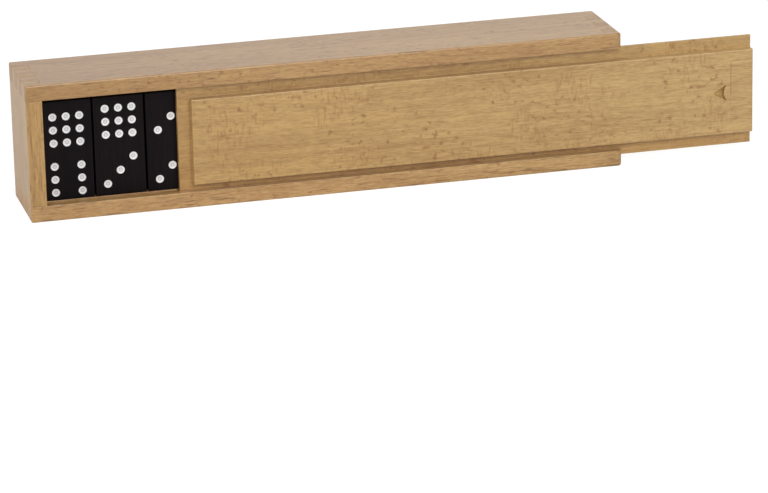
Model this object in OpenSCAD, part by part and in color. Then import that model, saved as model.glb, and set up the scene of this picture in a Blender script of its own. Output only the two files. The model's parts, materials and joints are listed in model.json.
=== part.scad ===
// Wooden box with a sliding lid that holds a double-nine set of dominoes.
// It stands on its long side: X runs along the box, the lid faces -Y, Z is up.
// The origin is the centre of the underside. All sizes are in millimetres.

/* [Dominoes] */
// Length of a domino, which stands upright in the box
tile_length = 50; // [40:1:60]
// Width of a domino
tile_width = 25; // [20:0.5:30]
// Thickness of a domino
tile_thickness = 7; // [5:0.5:10]
// Gap between neighbouring dominoes of a row
tile_gap = 0.9; // [0.2:0.1:2]
// Diameter of a pip at the face
pip_diameter = 4.6; // [3:0.1:5]
// Depth of a pip's dimple
pip_depth = 0.5; // [0.2:0.1:1]
// Distance between neighbouring pips
pip_pitch = 6.6; // [5.2:0.1:7]

/* [Walls] */
// Thickness of the two long walls
wall_thickness = 8; // [6:0.5:12]
// Thickness of the two end walls
end_thickness = 8; // [6:0.5:12]
// Thickness of the back panel
back_thickness = 5; // [3:0.5:8]
// Room between the dominoes' upper ends and the upper wall
row_play = 3; // [1:0.5:5]
// Room between the last dominoes of the rows and the end wall at the mouth
end_play = 1.4; // [0.4:0.2:4]
// Rounding of the outer edges
edge_radius = 0.8; // [0.4:0.1:1.5]
// Rounding of the two upright corners at the end where the lid comes out
mouth_radius = 3.2; // [0.6:0.2:3.6]
// Rounding of the upper and lower edges at the same end
mouth_edge_radius = 1.6; // [0.4:0.2:3]

/* [Lid] */
// Thickness of the walls' lips in front of the lid's tongue
lip_thickness = 4; // [3:0.5:6]
// Thickness of the tongue that runs in the grooves
tongue_thickness = 3.2; // [2:0.2:5]
// Thickness of the tongue's long edges, in front of the bevel along their back
tongue_land = 1; // [0.6:0.2:1.6]
// Depth of the groove in each long wall
groove_depth = 3.4; // [2.4:0.2:5]
// Depth of the groove in the closed end wall
end_groove_depth = 2.6; // [2:0.2:5]
// Width of the lowered rim around the lid's raised field
rim_width = 6.5; // [6:0.1:9]
// Total play of the lid between the floors of the two grooves
lid_play = 3.4; // [0.8:0.2:4]
// Running gap on each side of the tongue
slide_gap = 0.2; // [0.1:0.05:0.5]
// Gap at the end of the tongue when the lid is shut
stop_gap = 0.2; // [0.1:0.1:1.5]
// Gap between the lid and the dominoes behind it
cover_gap = 0.4; // [0.2:0.1:2]
// How far the lid is drawn out
lid_open = 69.2; // [0:0.2:120]

/* [Thumb notch] */
// Distance of the middle of the notch's stop from the lid's outer end
notch_inset = 15.4; // [10:0.2:30]
// Length of the sloping floor, from its tip to the middle of the stop
notch_length = 6.2; // [4:0.2:10]
// Width of the notch at the ends of its stop
notch_width = 8.4; // [5:0.2:12]
// Depth of the notch at the middle of its stop
notch_depth = 2.8; // [1:0.2:3.4]
// Radius of the curved stop
notch_stop_radius = 6.8; // [6:0.2:12]

/* [Hidden] */
most_pips = 9;
tiles_per_row = 11;
// The dominoes that show beside the drawn lid, from the closed end
shown_tiles = [[9, 6], [9, 3], [3, 3]];
// The pips of the first domino were drilled this much too low
low_pips = 2;
// Radius of the blunt tip of the cutter that made the notch
notch_tip = 0.3;
end_finger_count = 3;
over = 1;
$fn = 48;

wood = [0.76, 0.61, 0.42];
end_wood = [0.72, 0.58, 0.43];
lid_wood = [0.77, 0.63, 0.43];
panel_wood = [0.80, 0.69, 0.52];
tile_black = [0.10, 0.08, 0.07];

// Every domino of the set once, with the shown ones first
set = [for (a = [most_pips:-1:0]) for (b = [a:-1:0]) [a, b]];
function is_shown(t) = len([for (s = shown_tiles) if (s == t) s]) > 0;
tiles = concat(shown_tiles, [for (t = set) if (!is_shown(t)) t]);
tile_count = len(tiles);
// The last two dominoes, in the rear corner, share a node
single_count = tile_count - 2;
layer_count = ceil(tile_count / tiles_per_row);

tile_pitch = tile_width + tile_gap;
inner_length = tiles_per_row * tile_pitch - tile_gap + end_play;
inner_height = tile_length + row_play;
groove_width = tongue_thickness + 2 * slide_gap;
ledge = lip_thickness + groove_width;
tile_front = ledge + cover_gap;

box_length = inner_length + 2 * end_thickness;
box_height = inner_height + 2 * wall_thickness;
box_depth = tile_front + layer_count * tile_thickness + back_thickness;
left = -box_length / 2;
front = -box_depth / 2;

// The front finger is the lip, and the rear one holds the back panel's seat
rear_finger = 2 * back_thickness;
finger_width = (box_depth - lip_thickness - rear_finger) / (2 * end_finger_count - 1);
back_seat = min(wall_thickness, end_thickness) / 2;

rebate_depth = lip_thickness + slide_gap;
lid_thickness = rebate_depth + tongue_thickness;
lid_height = inner_height + 2 * groove_depth - lid_play;
shut_at = end_thickness - end_groove_depth + stop_gap;
lid_length = box_length - shut_at;
lid_left = left + shut_at + lid_open;
lid_bottom = wall_thickness - groove_depth + slide_gap;
tongue_bevel = tongue_thickness - tongue_land;
notch_bow = notch_stop_radius - sqrt(pow(notch_stop_radius, 2) - pow(notch_width / 2, 2));
notch_reach = notch_length + notch_bow;
notch_slope = atan(notch_depth / notch_length);
notch_spread = atan(notch_width / 2 / notch_reach);
// The cone's axis leans out of the wood, so that it has this slope in its floor and this spread on the lid
notch_lean = atan((cos(notch_slope) - cos(notch_spread)) / sin(notch_slope));

pip_sphere = (pow(pip_diameter / 2, 2) + pow(pip_depth, 2)) / (2 * pip_depth);

function tile_name(t) = str("domino_", t[0], "_", t[1]);
pair_name = str(tile_name(tiles[single_count]), "_and_", tiles[single_count + 1][0], "_",
                tiles[single_count + 1][1]);

// Places of n pips on a grid of three by three, as [column, row] from -1 to 1
function pips(n) = [for (c = [-1:1]) for (r = [-1:1]) if (has_pip(n, c, r)) [c, r]];

function has_pip(n, c, r) =
    c == 0 && r == 0 ? n % 2 == 1 :
    c == 0 ? n >= 8 :
    r == 0 ? n >= 6 :
    c == r ? n >= 2 : n >= 4;

// Rectangle from the origin with its own radius on the left and on the right corners
module rounded_plate(size, left_radius, right_radius) {
    difference() {
        square(size);
        for (top = [0, 1]) {
            translate([0, top * size[1]]) mirror([0, top]) corner_waste(left_radius);
            translate([size[0], top * size[1]]) mirror([1, 0]) mirror([0, top])
                corner_waste(right_radius);
        }
    }
}

// What a rounding of radius r takes off the corner at the origin
module corner_waste(r) {
    difference() {
        translate([-over, -over]) square(r + over);
        translate([r, r]) circle(r);
    }
}

// Outside of the closed box with its rounded edges
module outside() {
    intersection() {
        translate([left, front + box_depth, 0]) rotate([90, 0, 0]) linear_extrude(box_depth)
            rounded_plate([box_length, box_height], edge_radius, mouth_edge_radius);
        translate([left, front, 0]) linear_extrude(box_height)
            rounded_plate([box_length, box_depth], edge_radius, mouth_radius);
        translate([left, front, 0]) rotate([90, 0, 90]) linear_extrude(box_length)
            rounded_plate([box_depth, box_height], edge_radius, edge_radius);
    }
}

// Columns of the end walls' fingers, at x, reach deep and high; each is grown by the given amount
module finger_columns(x, grow_left, grow_right, grow_ends) {
    for (i = [0:end_finger_count - 1])
        translate([x - grow_left, front + lip_thickness + 2 * i * finger_width, -grow_ends])
            cube([end_thickness + grow_left + grow_right, finger_width, box_height + 2 * grow_ends]);
}

// Path of the lid's tongue, open at the mouth
module tongue_path() {
    groove_start = left + end_thickness - end_groove_depth;
    translate([groove_start, front + lip_thickness, wall_thickness - groove_depth])
        cube([box_length, groove_width, inner_height + 2 * groove_depth]);
}

// Seat of the back panel in the four walls
module back_space() {
    translate([left + end_thickness - back_seat, front + box_depth - back_thickness,
               wall_thickness - back_seat])
        cube([inner_length + 2 * back_seat, back_thickness + over, inner_height + 2 * back_seat]);
}

module long_wall(bottom) {
    difference() {
        intersection() {
            translate([left, front, bottom]) cube([box_length, box_depth, wall_thickness]);
            outside();
        }
        finger_columns(left, over, 0, over);
        finger_columns(left + box_length - end_thickness, 0, over, over);
        tongue_path();
        back_space();
    }
}

module upper_wall() { color(wood) long_wall(wall_thickness + inner_height); }

module lower_wall() { color(wood) long_wall(0); }

// Block between the long walls with the fingers that go through them
module end_block(x, start) {
    translate([x, front + start, wall_thickness])
        cube([end_thickness, box_depth - start, inner_height]);
    finger_columns(x, 0, 0, 0);
}

module closed_end_wall() {
    color(end_wood) difference() {
        intersection() {
            end_block(left, 0);
            outside();
        }
        tongue_path();
        back_space();
    }
}

// The lid slides over this wall, so it stops behind the tongue
module mouth_end_wall() {
    color(end_wood) difference() {
        intersection() {
            end_block(left + box_length - end_thickness, ledge);
            outside();
        }
        tongue_path();
        back_space();
    }
}

module back_panel() {
    color(panel_wood)
        translate([left + end_thickness - back_seat, front + box_depth - back_thickness,
                   wall_thickness - back_seat])
            cube([inner_length + 2 * back_seat, back_thickness, inner_height + 2 * back_seat]);
}

// Cone-shaped scoop that slopes down to a stop bowed towards the closed end
module thumb_notch() {
    stop_x = lid_left + lid_length - notch_inset;
    cone_length = 2 * notch_reach;
    widening = tan(notch_slope + notch_lean);
    translate([stop_x, front, lid_bottom + lid_height / 2])
        difference() {
            translate([-notch_length, 0, 0]) rotate([0, 90, -notch_lean])
                translate([0, 0, notch_tip / widening])
                    cylinder(r1 = notch_tip, r2 = notch_tip + cone_length * widening, h = cone_length);
            translate([notch_stop_radius, -cone_length, 0]) rotate([-90, 0, 0])
                cylinder(r = notch_stop_radius, h = 2 * cone_length);
            translate([2 * notch_bow, -2 * cone_length, -2 * cone_length]) cube(4 * cone_length);
        }
}

// Cross-section of the tongue, with its front on the left, bevelled along both edges of its back
module tongue_section() {
    polygon([[0, 0], [tongue_land, 0], [tongue_thickness, tongue_bevel],
             [tongue_thickness, lid_height - tongue_bevel], [tongue_land, lid_height], [0, lid_height]]);
}

module lid() {
    color(lid_wood) difference() {
        union() {
            translate([lid_left, front + rebate_depth, lid_bottom]) rotate([90, 0, 90])
                linear_extrude(lid_length) tongue_section();
            translate([lid_left + rim_width, front, lid_bottom + rim_width])
                cube([lid_length - rim_width, lid_thickness, lid_height - 2 * rim_width]);
        }
        thumb_notch();
    }
}

// Domino number i of the list, in its place in the rows, with its first number on top
module domino(i) {
    column = i % tiles_per_row;
    layer = floor(i / tiles_per_row);
    drop = i == 0 ? low_pips : 0;
    corner_x = left + end_thickness + column * tile_pitch;
    face_y = front + tile_front + layer * tile_thickness;
    color(tile_black) difference() {
        translate([corner_x, face_y, wall_thickness])
            cube([tile_width, tile_thickness, tile_length]);
        translate([corner_x + tile_width / 2, face_y - pip_sphere + pip_depth,
                   wall_thickness + tile_length / 2 - drop])
            for (half = [0, 1])
                for (p = pips(tiles[i][half]))
                    translate([p[0] * pip_pitch, 0,
                               (0.5 - half) * tile_length / 2 + p[1] * pip_pitch])
                        sphere(pip_sphere);
    }
}

module last_pair() {
    domino(single_count);
    domino(single_count + 1);
}

upper_wall();
lower_wall();
closed_end_wall();
mouth_end_wall();
back_panel();
lid();
for (i = [0:single_count - 1])
    domino(i);
last_pair();
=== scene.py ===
"""Looks of a wooden domino box with a sliding lid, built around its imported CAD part.

Every length is in metres. X runs along the box, the lid faces -Y and Z is up. SNAP is how near two places have to
be to count as one.
"""

import json
import math

import bmesh
import bpy
import numpy as np
from mathutils import Matrix, Vector

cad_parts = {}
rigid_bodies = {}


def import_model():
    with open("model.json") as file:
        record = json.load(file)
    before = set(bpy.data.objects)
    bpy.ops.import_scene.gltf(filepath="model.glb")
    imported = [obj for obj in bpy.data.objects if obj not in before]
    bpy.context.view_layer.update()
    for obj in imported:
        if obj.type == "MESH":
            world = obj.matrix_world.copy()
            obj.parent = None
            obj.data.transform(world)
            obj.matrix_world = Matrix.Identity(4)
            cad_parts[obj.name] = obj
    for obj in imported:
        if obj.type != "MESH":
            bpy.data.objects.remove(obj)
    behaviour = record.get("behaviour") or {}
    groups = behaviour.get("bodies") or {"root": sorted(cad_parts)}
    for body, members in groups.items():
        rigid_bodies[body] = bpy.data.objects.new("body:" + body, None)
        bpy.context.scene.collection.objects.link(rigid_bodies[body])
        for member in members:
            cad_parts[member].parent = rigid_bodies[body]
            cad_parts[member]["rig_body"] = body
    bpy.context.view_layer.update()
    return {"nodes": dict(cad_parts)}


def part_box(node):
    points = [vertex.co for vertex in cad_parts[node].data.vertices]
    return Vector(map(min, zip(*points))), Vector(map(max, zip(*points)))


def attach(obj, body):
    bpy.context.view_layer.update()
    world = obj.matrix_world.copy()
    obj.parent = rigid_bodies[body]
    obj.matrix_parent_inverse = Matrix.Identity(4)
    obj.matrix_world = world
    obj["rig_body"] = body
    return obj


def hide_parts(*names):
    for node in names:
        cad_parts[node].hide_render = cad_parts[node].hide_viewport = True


MM = 0.001
SNAP = 0.01 * MM


def photo_camera(place, target, roll, lens):
    """Camera at place that looks at target and is turned by roll degrees about its own axis."""
    data = bpy.data.cameras.new("photo_camera")
    data.sensor_fit = "HORIZONTAL"
    data.sensor_width = 36
    data.lens = lens
    data.clip_start = 0.05
    data.clip_end = 60
    camera = bpy.data.objects.new("photo_camera", data)
    bpy.context.scene.collection.objects.link(camera)
    look = (Vector(target) - Vector(place)).to_track_quat("-Z", "Y").to_matrix().to_4x4()
    turn = Matrix.Rotation(math.radians(roll), 4, "Z")
    camera.matrix_world = Matrix.Translation(Vector(place)) @ look @ turn
    bpy.context.scene.camera = camera


photo_camera(
    place=(-0.43477, -1.84870, 0.57697),
    target=(0.02560, -0.02400, -0.02997),
    roll=-1.3694,
    lens=185.69,
)

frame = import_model()
nodes = frame["nodes"]


# ---------------------------------------------------------------- shader maths


class Value:
    """A number's socket in a node tree. Python's operators on it add Math nodes."""

    def __init__(self, finish, socket):
        self.finish = finish
        self.socket = socket

    def maths(self, operation, *others):
        node = self.finish.node(
            "Math", {"operation": operation}, **{str(i): v for i, v in enumerate((self, *others))}
        )
        return Value(self.finish, node.outputs[0])

    def __add__(self, other):
        return self.maths("ADD", other)

    def __radd__(self, other):
        return self.maths("ADD", other)

    def __sub__(self, other):
        return self.maths("SUBTRACT", other)

    def __mul__(self, other):
        return self.maths("MULTIPLY", other)

    def __rmul__(self, other):
        return self.maths("MULTIPLY", other)

    def __truediv__(self, other):
        return self.maths("DIVIDE", other)

    def __pow__(self, other):
        return self.maths("POWER", other)

    def __abs__(self):
        return self.maths("ABSOLUTE")

    def __mod__(self, other):
        return self.maths("FLOORED_MODULO", other)

    def step(self, low, high):
        """0 at low, 1 at high and a smooth slope between them; it falls where low is above high."""
        node = self.finish.node(
            "MapRange",
            {"interpolation_type": "SMOOTHSTEP"},
            **{
                "Value": self,
                "From Min": min(low, high),
                "From Max": max(low, high),
                "To Min": 0.0 if low < high else 1.0,
                "To Max": 1.0 if low < high else 0.0,
            },
        )
        return Value(self.finish, node.outputs[0])


class Finish:
    """A node material with one Principled shader."""

    def __init__(self, name):
        self.material = bpy.data.materials.new(name)
        self.material.use_nodes = True
        self.tree = self.material.node_tree
        self.tree.nodes.clear()
        self.output = self.tree.nodes.new("ShaderNodeOutputMaterial")

    def feed(self, socket, value):
        """Links a value to the socket, or sets a constant on it."""
        if isinstance(value, Value):
            value = value.socket
        if isinstance(value, bpy.types.NodeSocket):
            self.tree.links.new(value, socket)
        elif socket.type == "RGBA":
            socket.default_value = (*value, 1.0)
        else:
            socket.default_value = value

    def node(self, kind, settings=None, **inputs):
        """A node of that kind with its settings, and with its named or numbered sockets fed."""
        node = self.tree.nodes.new("ShaderNode" + kind)
        for key, value in (settings or {}).items():
            setattr(node, key, value)
        for key, value in inputs.items():
            self.feed(node.inputs[int(key) if key.isdigit() else key], value)
        return node

    def place(self):
        """Place on the piece in Object coordinates, in metres."""
        return self.node("TexCoord").outputs["Object"]

    def axes(self, vector):
        """The three numbers of a vector."""
        node = self.node("SeparateXYZ", Vector=vector)
        return [Value(self, socket) for socket in node.outputs]

    def scaled(self, vector, scale, shift=(0, 0, 0)):
        settings = {"vector_type": "POINT"}
        return self.node("Mapping", settings, Vector=vector, Location=shift, Scale=scale).outputs[0]

    def noise(self, vector, detail=2.0, roughness=0.5, distortion=0.0):
        node = self.node(
            "TexNoise", Vector=vector, Scale=1.0, Detail=detail, Roughness=roughness, Distortion=distortion
        )
        return Value(self, node.outputs[0])

    def blend(self, first, second, share, how="MIX"):
        """Colour that goes from first to second as share goes from 0 to 1."""
        node = self.tree.nodes.new("ShaderNodeMix")
        node.data_type = "RGBA"
        node.blend_type = how
        for number, value in ((6, first), (7, second), (0, share)):
            self.feed(node.inputs[number], value)
        return node.outputs[2]

    def relief(self, height, depth, **under):
        """Bump of the given depth in metres where height goes from 0 to 1, on top of another's Normal."""
        return self.node("Bump", Height=height, Distance=depth, Strength=1.0, **under).outputs[0]

    def finished(self, **inputs):
        shader = self.node("BsdfPrincipled", **{k.replace("_", " "): v for k, v in inputs.items()})
        self.feed(self.output.inputs[0], shader.outputs[0])
        return self.material


def linear(red, green, blue):
    """Scene-linear colour from screen values of 0 to 255."""
    screen = np.array([red, green, blue]) / 255
    low = screen / 12.92
    high = ((screen + 0.055) / 1.055) ** 2.4
    return tuple(float(v) for v in np.where(screen <= 0.04045, low, high))


# ---------------------------------------------------------------- finishes


def shaded(colour, factor):
    """The colour times a factor for all of it, or times one for each part."""
    return tuple(float(v) for v in np.array(colour) * factor)


def beech(
    name,
    pale,
    dark,
    grain,
    ray,
    seed,
    dash=0.6,
    spots=1.0,
    rays=0.0,
    coat=0.6,
    painted_light_drift=None,
    milled=None,
    saw_mark=None,
):
    """Lacquered beech. grain is the axis along the fibres and ray the axis that the rays run along.

    Growth rings and short fibres are noise drawn out along the grain. Dashes, round spots and ray flecks are
    the peaks of finer noises, in patches. A face across the grain has drunk more lacquer and is browner.
    painted_light_drift is painted light and shade: the colour grows lighter or darker along X where the box is
    lit unevenly, as a place and a colour factor at either end. milled is the depth behind which the wood was cut
    back and is browner; low down it is darker and warmer still, painted shade for the channel under the lid's
    field.
    saw_mark is a faint upright line, as its place along X and its lowest and highest point.
    """
    wood = Finish(name)
    place = wood.place()
    along = "xyz".index(grain)
    deep = "xyz".index(ray)
    across = 3 - along - deep

    def drawn(long, wide, thick, shift):
        scale = [0.0, 0.0, 0.0]
        scale[along], scale[across], scale[deep] = 1 / long, 1 / wide, 1 / thick
        return wood.scaled(place, scale, (seed + shift, seed * 1.7 + shift, seed * 0.6 - shift))

    broad = wood.noise(drawn(0.12, 0.016, 0.016, 0.0), detail=2)
    rings = wood.noise(drawn(0.14, 0.012, 0.0032, 7.3), detail=2, distortion=0.25)
    fibres = wood.noise(drawn(0.011, 0.0009, 0.0009, 1.9), detail=3, roughness=0.7)
    fine = wood.noise(drawn(0.0035, 0.0005, 0.0005, 5.7), detail=2, roughness=0.6)
    shade = 0.6 * (rings - 0.5) + 0.9 * (fibres - 0.5) + 0.6 * (broad - 0.5) + 0.9 * (fine - 0.5)
    colour = wood.blend(pale, dark, (shade + 0.42).step(0.0, 0.9))

    patches = wood.noise(drawn(0.045, 0.012, 0.03, 9.4), detail=1)
    dashes = wood.noise(drawn(0.012, 0.0011, 0.0011, 3.3), detail=2).step(0.58, 0.74)
    dots = wood.noise(drawn(0.0030, 0.0024, 0.0030, 2.2), detail=1).step(0.57, 0.80) * patches.step(0.38, 0.56)
    brown = shaded(dark, (0.80, 0.65, 0.49))
    colour = wood.blend(colour, shaded(dark, 0.68), dashes * dash)
    colour = wood.blend(colour, brown, dots * (0.75 * spots))
    marks = dashes * 0.5 + dots
    if rays:
        flecks = wood.noise(drawn(0.0012, 0.002, 0.0052, 6.1), detail=1).step(0.46, 0.74)
        clusters = wood.noise(drawn(0.022, 0.03, 0.016, 12.8), detail=1).step(0.46, 0.60)
        colour = wood.blend(colour, shaded(brown, 1.2), flecks * clusters * rays)
        marks = marks + flecks * clusters * 0.5
    # Painted light and shade: lighter or darker along X where the box is lit unevenly.
    if painted_light_drift is not None:
        (low, low_factor), (high, high_factor) = painted_light_drift
        painted_light_gradient = wood.blend(low_factor, high_factor, wood.axes(place)[0].step(low, high))
        colour = wood.blend(colour, painted_light_gradient, 1.0, "MULTIPLY")
    # Browner cut-back wood, darker still low down: that part is painted shade of the channel under the field.
    if milled is not None:
        _, depth, height = wood.axes(place)
        browner = wood.blend((0.86, 0.78, 0.66), (0.94, 0.91, 0.84), height.step(0.012, 0.045))
        colour = wood.blend(colour, browner, depth.step(milled - 0.0008, milled), "MULTIPLY")
    if saw_mark is not None:
        x, low, high = saw_mark
        side, _, height = wood.axes(place)
        line = abs(side - x).step(0.0005, 0.0002)
        line = line * height.step(low, low + 0.003) * height.step(high, high - 0.003)
        colour = wood.blend(colour, shaded(dark, 0.80), line * 0.5)

    facing = abs(wood.axes(wood.node("TexCoord").outputs["Normal"])[along])
    end_grain = facing.step(0.6, 0.95)
    pores = wood.noise(drawn(0.02, 0.0014, 0.0014, 4.4), detail=2).step(0.38, 0.66)
    colour = wood.blend(colour, shaded(dark, 0.72), end_grain * (0.06 + 0.3 * pores))

    return wood.finished(
        Base_Color=colour,
        Roughness=0.42 + 0.14 * fibres + 0.1 * end_grain,
        Normal=wood.relief(fine * 0.7 + fibres * 0.6 - marks * 0.4, 0.06 * MM),
        IOR=1.5,
        Specular_IOR_Level=0.42,
        Coat_Weight=coat,
        Coat_Roughness=0.28,
    )


def stained_black(name):
    """Black-stained wood: brown shows a little in fine streaks along the domino, under a thin satin lacquer.

    The backs, towards +Y, are pressed with fish scales: half circles in rows 2.1 mm apart, each 4.2 mm wide and
    shifted by half of that from row to row. radius is the distance from a scale's centre in its widths.
    """
    wood = Finish(name)
    place = wood.place()
    streaks = wood.noise(wood.scaled(place, (900, 900, 60)), detail=3, roughness=0.6)
    broad = wood.noise(wood.scaled(place, (60, 60, 12)), detail=2)
    colour = wood.blend(linear(8, 5, 7), linear(20, 13, 15), (0.6 * streaks + 0.5 * broad).step(0.35, 0.8))
    x, _, z = wood.axes(place)
    row = z / (2.1 * MM)
    across = (x / (4.2 * MM) + 0.5 * (row.maths("FLOOR") % 2.0)) % 1.0 - 0.5
    up = 0.5 * (row % 1.0)
    radius = (across * across + up * up) ** 0.5
    back = wood.axes(wood.node("TexCoord").outputs["Normal"])[1].step(0.90, 0.99)
    scales = back * abs(radius - 0.46).step(0.02, 0.08)
    return wood.finished(
        Base_Color=colour,
        Roughness=0.42 + 0.16 * streaks,
        Normal=wood.relief(scales, 0.3 * MM, Normal=wood.relief(streaks, 0.05 * MM)),
        IOR=1.45,
        Specular_IOR_Level=0.1,
    )


def pip_paint(name):
    """Matt white paint, a little thinner where the drill's point left a ring. U is the share of the radius."""
    paint = Finish(name)
    radius = paint.axes(paint.node("UVMap", {"uv_map": "radius"}).outputs[0])[0]
    ring = radius.step(0.20, 0.34) * radius.step(0.58, 0.42)
    point = radius.step(0.16, 0.06)
    colour = paint.blend(linear(226, 225, 225), linear(140, 138, 139), ring * 0.6 + point * 0.5)
    return paint.finished(Base_Color=colour, Roughness=0.55, IOR=1.45)


upper_wood = beech(
    "beech_upper_wall",
    linear(181, 144, 91),
    linear(141, 100, 55),
    "x",
    "y",
    0.3,
    dash=0.9,
    # painted shade: darker towards the left end
    painted_light_drift=((-0.15, (0.87, 0.83, 0.75)), (0.0, (1.0, 1.0, 1.0))),
)
lower_wood = beech(
    "beech_lower_wall",
    linear(187, 149, 96),
    linear(144, 103, 56),
    "x",
    "y",
    2.9,
    dash=1.0,
    # painted light: lighter towards the right end
    painted_light_drift=((-0.1, (1.0, 1.0, 1.0)), (0.15, (1.05, 1.12, 1.13))),
)
end_wood = beech("beech_end_wall", linear(179, 142, 83), linear(142, 102, 53), "z", "y", 4.1, coat=0.65)
lid_wood = beech(
    "beech_lid",
    linear(188, 152, 93),
    linear(149, 111, 60),
    "x",
    "z",
    8.6,
    dash=0.4,
    spots=1.2,
    rays=0.55,
    # painted light: lighter towards the right end
    painted_light_drift=((-0.08, (0.98, 0.98, 0.97)), (0.22, (1.04, 1.10, 1.22))),
    # painted shade: the cut-back rim is darker low down
    milled=-0.0202,
    saw_mark=(0.2081, 0.030, 0.050),
)
panel_wood = beech("back_panel_ply", linear(212, 182, 138), linear(180, 143, 97), "x", "y", 2.7)
domino_wood = stained_black("black_domino")
white_paint = pip_paint("white_pip_paint")


# ---------------------------------------------------------------- pieces


def finished_copy(node, name, material, edge, rounds=2, sharp=30, front=None):
    """The node's solid with its triangles joined, its flat faces merged and its edges broken by a small bevel.

    Where front is given, it is the wider bevel round the outline of the face that lies nearest to -Y, and edges
    shorter than a bevel stay sharp. Every edge's weight is its share of the widest bevel.
    """
    mesh = nodes[node].data.copy()
    mesh.name = name
    work = bmesh.new()
    work.from_mesh(mesh)
    bmesh.ops.remove_doubles(work, verts=work.verts, dist=2e-6)
    bmesh.ops.dissolve_limit(work, angle_limit=math.radians(0.4), verts=work.verts, edges=work.edges)
    widest = front or edge
    weight = work.edges.layers.float.new("bevel_weight_edge")
    nearest = min(v.co.y for v in work.verts)
    near = [v.co for v in work.verts if v.co.y < nearest + SNAP]
    limits = [(axis, pick(co[axis] for co in near)) for axis in (0, 2) for pick in (min, max)]
    for side in work.edges:
        if side.calc_face_angle(0.0) > math.radians(sharp):
            on_front = all(v.co.y < nearest + SNAP for v in side.verts)
            outline = any(all(abs(v.co[axis] - limit) < SNAP for v in side.verts) for axis, limit in limits)
            if on_front and outline:
                side[weight] = 1.0
            elif not front or side.calc_length() >= edge:
                side[weight] = edge / widest
    work.to_mesh(mesh)
    work.free()
    mesh.polygons.foreach_set("use_smooth", np.ones(len(mesh.polygons), bool))
    mesh.set_sharp_from_angle(angle=math.radians(sharp))
    mesh.materials.clear()
    mesh.materials.append(material)
    piece = bpy.data.objects.new(name, mesh)
    bpy.context.scene.collection.objects.link(piece)
    bevel = piece.modifiers.new("broken_edges", "BEVEL")
    bevel.width = widest
    bevel.segments = rounds
    bevel.limit_method = "WEIGHT"
    bevel.use_clamp_overlap = False
    bevel.miter_outer = "MITER_ARC"
    normals = piece.modifiers.new("even_shading", "WEIGHTED_NORMAL")
    normals.keep_sharp = False
    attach(piece, nodes[node]["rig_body"])
    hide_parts(node)


WALL_EDGE = 0.25 * MM
FIELD_EDGE = 0.7 * MM
TILE_EDGE = 0.35 * MM
WALLS = {
    "upper_wall": ("beech_long_wall", upper_wood),
    "lower_wall": ("beech_long_wall", lower_wood),
    "closed_end_wall": ("beech_end_wall", end_wood),
    "mouth_end_wall": ("beech_end_wall", end_wood),
    "back_panel": ("back_panel_ply", panel_wood),
}
for node, (slot, material) in WALLS.items():
    finished_copy(node, node + "_wood", material, WALL_EDGE)
finished_copy("lid", "lid_wood", lid_wood, WALL_EDGE, rounds=3, sharp=35, front=FIELD_EDGE)

tile_nodes = [n for n in nodes if n.startswith("domino_")]
for node in tile_nodes:
    finished_copy(node, node + "_wood", domino_wood, TILE_EDGE, rounds=3, sharp=40)

PIP_PITCH = 6.6 * MM
PAINT_RADIUS = 2.05 * MM
PAINT_RIM = 0.02 * MM
PAINT_DISH = 0.38 * MM
TILE_LENGTH = 50 * MM
TILE_WIDTH = 25 * MM
LOW_PIPS = 2 * MM


def pip_places(number):
    """Columns and rows from -1 to 1 of a number's pips, on a grid whose cells count up from 1 in columns."""
    grid = ("", "5", "19", "159", "1379", "13579", "123789", "1235789", "12346789", "123456789")
    return [((int(cell) - 1) // 3 - 1, (int(cell) - 1) % 3 - 1) for cell in grid[number]]


def pip_mesh(name, centres, face):
    """Dished discs of paint in the dimples, as one mesh.

    With R the paint's radius, a point at radius r lies at y = face + PAINT_RIM + PAINT_DISH * (1 - (r / R)^2),
    a film's thickness above the dimple. rings holds the values of r / R, and U is r / R.
    """
    turns = 20
    rings = np.array([0.34, 0.62, 0.86, 0.97])
    angle = np.arange(turns) * 2 * np.pi / turns
    radius = np.repeat(rings, turns) * PAINT_RADIUS
    around = np.tile(angle, len(rings))
    local = np.stack([radius * np.cos(around), np.zeros_like(radius), radius * np.sin(around)], 1)
    local = np.vstack([[0.0, 0.0, 0.0], local])
    share = np.concatenate([[0.0], np.repeat(rings, turns)])
    local[:, 1] = PAINT_RIM + PAINT_DISH * (1 - share**2)
    k = np.arange(turns)
    fan = np.stack([np.zeros(turns, int), 1 + k, 1 + (k + 1) % turns], 1)
    quads = []
    for ring in range(len(rings) - 1):
        low, high = 1 + ring * turns, 1 + (ring + 1) * turns
        quads.append(np.stack([low + k, high + k, high + (k + 1) % turns, low + (k + 1) % turns], 1))
    quads = np.vstack(quads)
    count = len(centres)
    points = (np.array(centres)[:, None, :] + local[None]).reshape(-1, 3)
    points[:, 1] += face
    shift = (np.arange(count) * len(local))[:, None, None]
    faces = (fan[None] + shift).reshape(-1, 3).tolist() + (quads[None] + shift).reshape(-1, 4).tolist()
    mesh = bpy.data.meshes.new(name)
    mesh.from_pydata(points.tolist(), [], faces)
    corner = np.zeros(len(mesh.loops), int)
    mesh.loops.foreach_get("vertex_index", corner)
    uv = np.zeros((len(corner), 2))
    uv[:, 0] = np.tile(share, count)[corner]
    mesh.uv_layers.new(name="radius").data.foreach_set("uv", uv.ravel())
    mesh.polygons.foreach_set("use_smooth", np.ones(len(mesh.polygons), bool))
    mesh.materials.append(white_paint)
    mesh.update()
    return mesh


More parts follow.
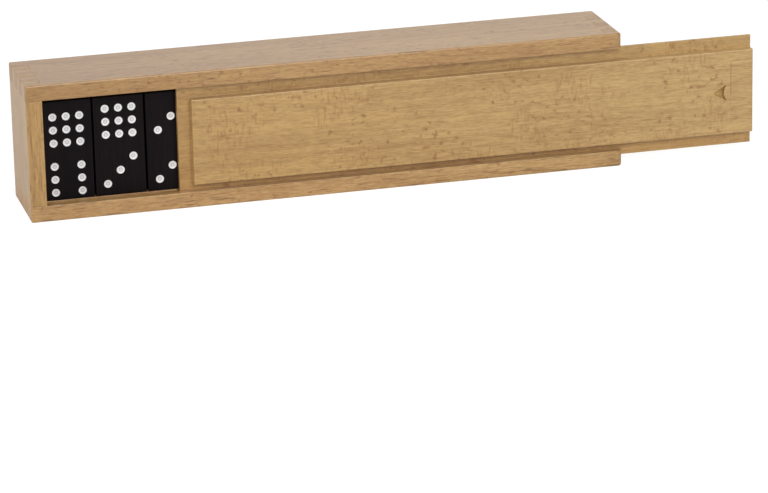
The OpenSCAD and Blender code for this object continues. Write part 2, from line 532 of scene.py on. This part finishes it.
for node in tile_nodes:
    low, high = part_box(node)
    ends = [int(part) for part in node.split("_and_")[0].split("_")[1:3]]
    drop = LOW_PIPS if node == "domino_9_6" else 0.0
    middle_x = low.x + TILE_WIDTH / 2
    middle_z = low.z + TILE_LENGTH / 2 - drop
    centres = [
        (middle_x + column * PIP_PITCH, 0.0, middle_z + side * TILE_LENGTH / 4 + row * PIP_PITCH)
        for number, side in zip(ends, (1, -1))
        for column, row in pip_places(number)
    ]
    if not centres:
        continue
    name = node + "_pips"
    pips = bpy.data.objects.new(name, pip_mesh(name, centres, low.y))
    bpy.context.scene.collection.objects.link(pips)
    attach(pips, nodes[node]["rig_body"])


# ---------------------------------------------------------------- studio


def studio_floor():
    """Wide flat floor that shows white to the camera and keeps a soft shadow."""
    finish = Finish("studio_floor")
    rays = finish.node("LightPath")
    seen = rays.outputs["Is Camera Ray"]
    plain = finish.node("BsdfDiffuse", Color=(0.93, 0.93, 0.93))
    shadowed = finish.node("BsdfDiffuse", Color=(0.22, 0.22, 0.22))
    glow = finish.node("Emission", Color=(1.0, 1.0, 1.0), Strength=0.9)
    white = finish.node("AddShader", **{"0": shadowed.outputs[0], "1": glow.outputs[0]})
    mixed = finish.node("MixShader", **{"0": seen, "1": plain.outputs[0], "2": white.outputs[0]})
    finish.feed(finish.output.inputs[0], mixed.outputs[0])
    size = 12.0
    mesh = bpy.data.meshes.new("studio_floor")
    corners = [(-size, -size, 0.0), (size, -size, 0.0), (size, size, 0.0), (-size, size, 0.0)]
    mesh.from_pydata(corners, [], [(0, 1, 2, 3)])
    mesh.materials.append(finish.material)
    floor = bpy.data.objects.new("studio_floor", mesh)
    bpy.context.scene.collection.objects.link(floor)


def studio_world(level):
    """White to the camera and in reflections, and a plain level of light otherwise."""
    world = bpy.data.worlds.new("studio")
    world.use_nodes = True
    tree = world.node_tree
    tree.nodes.clear()
    rays = tree.nodes.new("ShaderNodeLightPath")
    seen = tree.nodes.new("ShaderNodeMath")
    seen.operation = "MAXIMUM"
    tree.links.new(rays.outputs["Is Camera Ray"], seen.inputs[0])
    tree.links.new(rays.outputs["Is Glossy Ray"], seen.inputs[1])
    strength = tree.nodes.new("ShaderNodeMapRange")
    strength.inputs["To Min"].default_value = level
    strength.inputs["To Max"].default_value = 1.0
    tree.links.new(seen.outputs[0], strength.inputs["Value"])
    light = tree.nodes.new("ShaderNodeBackground")
    light.inputs["Color"].default_value = (1.0, 1.0, 1.0, 1.0)
    tree.links.new(strength.outputs[0], light.inputs["Strength"])
    output = tree.nodes.new("ShaderNodeOutputWorld")
    tree.links.new(light.outputs[0], output.inputs[0])
    bpy.context.scene.world = world


def softbox(name, place, size, power, glossy=True):
    """Square area lamp at place that faces the box; glossy tells whether it shows in reflections."""
    data = bpy.data.lights.new(name, "AREA")
    data.shape = "SQUARE"
    data.size = size
    data.energy = power
    lamp = bpy.data.objects.new(name, data)
    bpy.context.scene.collection.objects.link(lamp)
    lamp.visible_glossy = glossy
    turn = (-Vector(place)).to_track_quat("-Z", "Y").to_matrix().to_4x4()
    lamp.matrix_world = Matrix.Translation(Vector(place)) @ turn


studio_floor()
studio_world(0.2)
softbox("overhead_softbox", (0.1, -0.2, 2.2), 1.2, 7)
softbox("front_softbox", (0.3, -2.45, 1.28), 1.3, 47.5)
softbox("side_softbox", (-2.4, -0.4, 0.9), 1.0, 34)
softbox("rear_softbox", (1.7, 1.9, 0.7), 1.0, 20, glossy=False)

bpy.context.scene.view_settings.view_transform = "Standard"
